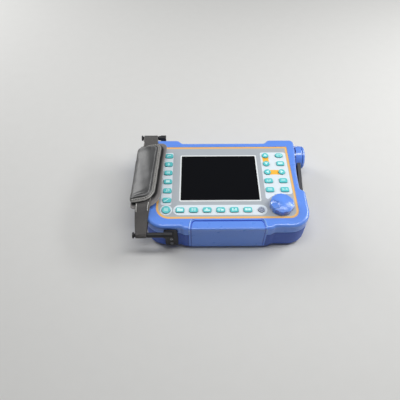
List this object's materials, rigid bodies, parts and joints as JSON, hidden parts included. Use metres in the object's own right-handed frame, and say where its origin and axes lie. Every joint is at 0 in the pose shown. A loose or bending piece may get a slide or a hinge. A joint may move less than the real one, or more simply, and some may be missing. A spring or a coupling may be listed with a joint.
{
  "type": "ultrasonic flaw detector",
  "caption": "Portable ultrasonic flaw detector: flat housing with a screen, soft keys, a turning knob, padded side strap, folding tilt stand and probe sockets.",
  "frame": {"origin": "midway between the four feet under the middle of the housing, on the plane that the instrument rests on, lying on its back", "axes": "+X to the right of the screen, +Y towards the top of the screen, +Z out of the screen"},
  "size_m": [0.2693, 0.1928, 0.0676],
  "materials": {
    "blue_plastic": "glossy moulded plastic",
    "case_plastic": "satin moulded plastic",
    "black_plastic": "fine textured plastic",
    "panel_grey": "printed polyester sheet",
    "window": "clear tinted window",
    "display_black": "dark display face",
    "key_teal": "smooth moulded rubber",
    "key_grey": "smooth moulded rubber",
    "black_rubber": "matt rubber",
    "circuit_board": "lacquered board",
    "steel": "plain steel",
    "nickel": "satin nickel plate",
    "contact_brass": "plated contact",
    "white_insulator": "white insulator",
    "stand_metal": "dark powder coat",
    "strap_leather": "soft coated fabric",
    "strap_lining": "brushed lining",
    "webbing": "woven webbing"
  },
  "bodies": {
    "housing": {"front_bezel": "blue_plastic", "battery_cover": "blue_plastic", "rear_case": "case_plastic", "charger_socket": "black_plastic", "data_socket": "black_plastic", "encoder_body": "black_plastic", "battery_pack": "black_plastic", "upper_strap_lug": "black_plastic", "lower_strap_lug": "black_plastic", "front_overlay": "panel_grey", "display_window": "window", "display_module": "display_black", "case_gasket": "black_rubber", "keypad_mat": "black_rubber", "rear_feet": "black_rubber", "keypad_board": "circuit_board", "main_board": "circuit_board", "case_screws": "steel", "small_screws": "steel", "stand_pivot_bolts": "steel", "stand_washers": "steel", "encoder_nut": "steel", "pulser_shield": "steel", "probe_socket_nuts": "steel", "left_probe_socket": "nickel", "right_probe_socket": "nickel", "probe_socket_contacts": "contact_brass", "probe_socket_insulators": "white_insulator", "strap_pad": "strap_leather", "strap_lining": "strap_lining", "strap_webbing": "webbing"},
    "left_key_1": {"left_key_1": "key_teal"},
    "left_key_2": {"left_key_2": "key_teal"},
    "left_key_3": {"left_key_3": "key_teal"},
    "left_key_4": {"left_key_4": "key_teal"},
    "left_key_5": {"left_key_5": "key_teal"},
    "left_key_6": {"left_key_6": "key_teal"},
    "round_key": {"round_key": "key_teal"},
    "bottom_key_1": {"bottom_key_1": "key_teal"},
    "bottom_key_2": {"bottom_key_2": "key_teal"},
    "bottom_key_3": {"bottom_key_3": "key_teal"},
    "bottom_key_4": {"bottom_key_4": "key_teal"},
    "bottom_key_5": {"bottom_key_5": "key_teal"},
    "bottom_key_6": {"bottom_key_6": "key_teal"},
    "power_key": {"power_key": "key_grey"},
    "up_key": {"up_key": "key_teal"},
    "down_key": {"down_key": "key_teal"},
    "left_arrow_key": {"left_arrow_key": "key_teal"},
    "right_arrow_key": {"right_arrow_key": "key_teal"},
    "menu_key": {"menu_key": "key_teal"},
    "enter_key": {"enter_key": "key_teal"},
    "gain_key": {"gain_key": "key_teal"},
    "gate_key": {"gate_key": "key_teal"},
    "range_key": {"range_key": "key_teal"},
    "freeze_key": {"freeze_key": "key_teal"},
    "knob": {"control_knob": "blue_plastic", "encoder_shaft": "steel"},
    "stand": {"tilt_stand": "stand_metal", "stand_hubs": "blue_plastic", "hub_caps": "blue_plastic"}
  },
  "joints": [
    {"name": "left_key_1_press", "type": "slide", "parent": "housing", "child": "left_key_1", "axis": [0, 0, -1], "range_m": [0, 0.0008], "stiffness_N_per_m": 600},
    {"name": "left_key_2_press", "type": "slide", "parent": "housing", "child": "left_key_2", "axis": [0, 0, -1], "range_m": [0, 0.0008], "stiffness_N_per_m": 600},
    {"name": "left_key_3_press", "type": "slide", "parent": "housing", "child": "left_key_3", "axis": [0, 0, -1], "range_m": [0, 0.0008], "stiffness_N_per_m": 600},
    {"name": "left_key_4_press", "type": "slide", "parent": "housing", "child": "left_key_4", "axis": [0, 0, -1], "range_m": [0, 0.0008], "stiffness_N_per_m": 600},
    {"name": "left_key_5_press", "type": "slide", "parent": "housing", "child": "left_key_5", "axis": [0, 0, -1], "range_m": [0, 0.0008], "stiffness_N_per_m": 600},
    {"name": "left_key_6_press", "type": "slide", "parent": "housing", "child": "left_key_6", "axis": [0, 0, -1], "range_m": [0, 0.0008], "stiffness_N_per_m": 600},
    {"name": "round_key_press", "type": "slide", "parent": "housing", "child": "round_key", "axis": [0, 0, -1], "range_m": [0, 0.0008], "stiffness_N_per_m": 600},
    {"name": "bottom_key_1_press", "type": "slide", "parent": "housing", "child": "bottom_key_1", "axis": [0, 0, -1], "range_m": [0, 0.0008], "stiffness_N_per_m": 600},
    {"name": "bottom_key_2_press", "type": "slide", "parent": "housing", "child": "bottom_key_2", "axis": [0, 0, -1], "range_m": [0, 0.0008], "stiffness_N_per_m": 600},
    {"name": "bottom_key_3_press", "type": "slide", "parent": "housing", "child": "bottom_key_3", "axis": [0, 0, -1], "range_m": [0, 0.0008], "stiffness_N_per_m": 600},
    {"name": "bottom_key_4_press", "type": "slide", "parent": "housing", "child": "bottom_key_4", "axis": [0, 0, -1], "range_m": [0, 0.0008], "stiffness_N_per_m": 600},
    {"name": "bottom_key_5_press", "type": "slide", "parent": "housing", "child": "bottom_key_5", "axis": [0, 0, -1], "range_m": [0, 0.0008], "stiffness_N_per_m": 600},
    {"name": "bottom_key_6_press", "type": "slide", "parent": "housing", "child": "bottom_key_6", "axis": [0, 0, -1], "range_m": [0, 0.0008], "stiffness_N_per_m": 600},
    {"name": "power_key_press", "type": "slide", "parent": "housing", "child": "power_key", "axis": [0, 0, -1], "range_m": [0, 0.0008], "stiffness_N_per_m": 600},
    {"name": "up_key_press", "type": "slide", "parent": "housing", "child": "up_key", "axis": [0, 0, -1], "range_m": [0, 0.0008], "stiffness_N_per_m": 600},
    {"name": "down_key_press", "type": "slide", "parent": "housing", "child": "down_key", "axis": [0, 0, -1], "range_m": [0, 0.0008], "stiffness_N_per_m": 600},
    {"name": "left_arrow_key_press", "type": "slide", "parent": "housing", "child": "left_arrow_key", "axis": [0, 0, -1], "range_m": [0, 0.0008], "stiffness_N_per_m": 600},
    {"name": "right_arrow_key_press", "type": "slide", "parent": "housing", "child": "right_arrow_key", "axis": [0, 0, -1], "range_m": [0, 0.0008], "stiffness_N_per_m": 600},
    {"name": "menu_key_press", "type": "slide", "parent": "housing", "child": "menu_key", "axis": [0, 0, -1], "range_m": [0, 0.0008], "stiffness_N_per_m": 600},
    {"name": "enter_key_press", "type": "slide", "parent": "housing", "child": "enter_key", "axis": [0, 0, -1], "range_m": [0, 0.0008], "stiffness_N_per_m": 600},
    {"name": "gain_key_press", "type": "slide", "parent": "housing", "child": "gain_key", "axis": [0, 0, -1], "range_m": [0, 0.0008], "stiffness_N_per_m": 600},
    {"name": "gate_key_press", "type": "slide", "parent": "housing", "child": "gate_key", "axis": [0, 0, -1], "range_m": [0, 0.0008], "stiffness_N_per_m": 600},
    {"name": "range_key_press", "type": "slide", "parent": "housing", "child": "range_key", "axis": [0, 0, -1], "range_m": [0, 0.0008], "stiffness_N_per_m": 600},
    {"name": "freeze_key_press", "type": "slide", "parent": "housing", "child": "freeze_key", "axis": [0, 0, -1], "range_m": [0, 0.0008], "stiffness_N_per_m": 600},
    {"name": "knob_turn", "type": "hinge", "parent": "housing", "child": "knob", "pos_m": [0.0769, -0.0501, 0.0508], "axis": [0, 0, 1], "continuous": true},
    {"name": "stand_swing", "type": "hinge", "parent": "housing", "child": "stand", "pos_m": [0, 0.065, 0.027], "axis": [1, 0, 0], "range_deg": [0, 75]}
  ]
}
